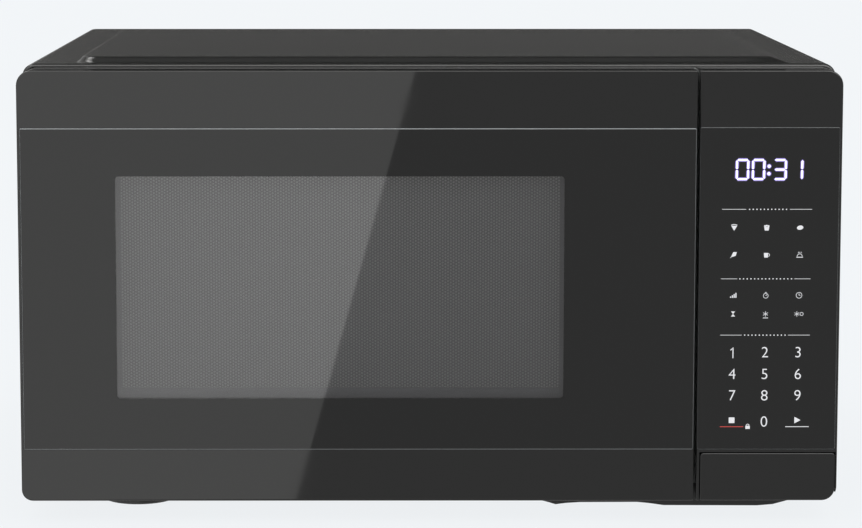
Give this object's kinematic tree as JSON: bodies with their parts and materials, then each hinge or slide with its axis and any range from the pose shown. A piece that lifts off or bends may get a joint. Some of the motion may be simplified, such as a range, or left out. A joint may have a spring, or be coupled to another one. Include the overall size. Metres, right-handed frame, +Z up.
{
  "type": "countertop microwave oven",
  "caption": "Box-shaped countertop oven with a side-hinged door with a window, a touch control panel, a push plate that opens the door and a turntable inside.",
  "frame": {"origin": "middle of the oven's footprint, at the height of the feet's undersides", "axes": "+Z up, -Y out of the front, +X to the right as seen from the front"},
  "size_m": [0.513, 0.42, 0.2908],
  "materials": {
    "gloss_black": "gloss black moulded plastic with a light surface wave",
    "dark_glass": "black printed toughened glass, high gloss",
    "black_plastic": "matt black moulded plastic",
    "white_plastic": "natural white acetal, satin",
    "cabinet_paint": "dark grey powder coat, fine texture, satin",
    "cavity_enamel": "light grey oven paint, satin",
    "screen_paint": "black painted perforated steel",
    "zinc_steel": "zinc-plated sheet steel",
    "transformer_steel": "varnished lamination steel",
    "aluminium": "bare aluminium",
    "copper_wire": "varnished copper winding wire",
    "clear_glass": "clear pressed glass",
    "clear_film": "clear polycarbonate sheet",
    "mica": "pressed mica sheet",
    "board_green": "circuit board with solder mask",
    "rubber": "matt black rubber"
  },
  "bodies": {
    "chassis": {"outer_cabinet": "cabinet_paint", "base_plate": "cabinet_paint", "rear_panel": "zinc_steel", "cord_gland": "black_plastic", "foot_front_left": "rubber", "foot_front_right": "rubber", "foot_rear_left": "rubber", "foot_rear_right": "rubber", "rear_screw_1": "zinc_steel", "rear_screw_2": "zinc_steel", "rear_screw_3": "zinc_steel", "rear_screw_4": "zinc_steel", "front_plate": "cavity_enamel", "cavity_liner": "cavity_enamel", "waveguide_cover": "mica", "hinge_upper": "zinc_steel", "hinge_lower": "zinc_steel", "lamp_lens": "clear_film", "oven_lamp": "white_plastic", "thermal_cutout": "black_plastic", "control_fascia": "gloss_black", "touch_overlay": "dark_glass", "display_module": "black_plastic", "control_board": "board_green", "power_relay": "black_plastic", "standby_transformer": "transformer_steel", "button_spring": "zinc_steel", "latch_housing": "white_plastic", "primary_switch": "black_plastic", "monitor_switch": "black_plastic", "secondary_switch": "black_plastic", "turntable_motor": "zinc_steel", "waveguide": "zinc_steel", "magnetron": "aluminium", "transformer_core": "transformer_steel", "transformer_windings": "copper_wire", "capacitor": "aluminium", "capacitor_clamp": "zinc_steel", "high_voltage_diode": "black_plastic", "filter_board": "board_green", "fan_shroud": "white_plastic", "fan_motor": "transformer_steel"},
    "door": {"door_frame": "gloss_black", "door_glass": "dark_glass", "door_screen": "screen_paint", "door_inner_window": "clear_film", "door_back_cover": "black_plastic", "latch_spring": "zinc_steel"},
    "latch": {"latch_hooks": "white_plastic"},
    "release_button": {"release_button": "gloss_black"},
    "release_lever": {"release_lever": "white_plastic"},
    "turntable": {"drive_coupler": "white_plastic", "glass_tray": "clear_glass"},
    "roller_ring": {"roller_ring": "white_plastic"},
    "roller_1": {"roller_1": "white_plastic"},
    "roller_2": {"roller_2": "white_plastic"},
    "roller_3": {"roller_3": "white_plastic"},
    "fan": {"fan_blades": "black_plastic"}
  },
  "joints": [
    {"name": "door_hinge", "type": "hinge", "parent": "chassis", "child": "door", "pos_m": [-0.2505, -0.1895, 0.1488], "axis": [0, 0, -1], "range_deg": [0, 110]},
    {"name": "button_press", "type": "slide", "parent": "chassis", "child": "release_button", "axis": [0, 1, 0], "range_m": [0, 0.005], "stiffness_N_per_m": 900, "springref_m": -0.003, "deforming": ["button_spring"]},
    {"name": "lever_turn", "type": "hinge", "parent": "chassis", "child": "release_lever", "pos_m": [0.155, -0.171, 0.059], "axis": [1, 0, 0], "range_deg": [0, 11.46]},
    {"name": "latch_lift", "type": "slide", "parent": "door", "child": "latch", "axis": [0, 0, 1], "range_m": [0, 0.004], "stiffness_N_per_m": 300, "springref_m": -0.004, "deforming": ["latch_spring"]},
    {"name": "turntable_spin", "type": "hinge", "parent": "chassis", "child": "turntable", "pos_m": [-0.056, -0.01, 0.043], "axis": [0, 0, 1], "continuous": true},
    {"name": "roller_ring_spin", "type": "hinge", "parent": "chassis", "child": "roller_ring", "pos_m": [-0.056, -0.01, 0.0503], "axis": [0, 0, 1], "continuous": true},
    {"name": "roller_1_roll", "type": "hinge", "parent": "roller_ring", "child": "roller_1", "pos_m": [-0.008, 0.07314, 0.0503], "axis": [0.5, 0.866, 0], "continuous": true},
    {"name": "roller_2_roll", "type": "hinge", "parent": "roller_ring", "child": "roller_2", "pos_m": [-0.152, -0.01, 0.0503], "axis": [-1, 0, 0], "continuous": true},
    {"name": "roller_3_roll", "type": "hinge", "parent": "roller_ring", "child": "roller_3", "pos_m": [-0.008, -0.09314, 0.0503], "axis": [0.5, -0.866, 0], "continuous": true},
    {"name": "fan_spin", "type": "hinge", "parent": "chassis", "child": "fan", "pos_m": [0.193, 0.181, 0.163], "axis": [0, 1, 0], "continuous": true}
  ],
  "couplings": [
    {"joint": "lever_turn", "follows": "button_press", "rad_per_m": 40},
    {"joint": "latch_lift", "follows": "button_press", "ratio": 0.8},
    {"joint": "roller_ring_spin", "follows": "turntable_spin", "ratio": 0.5},
    {"joint": "roller_1_roll", "follows": "turntable_spin", "ratio": -6.8571},
    {"joint": "roller_2_roll", "follows": "turntable_spin", "ratio": -6.8571},
    {"joint": "roller_3_roll", "follows": "turntable_spin", "ratio": -6.8571}
  ]
}
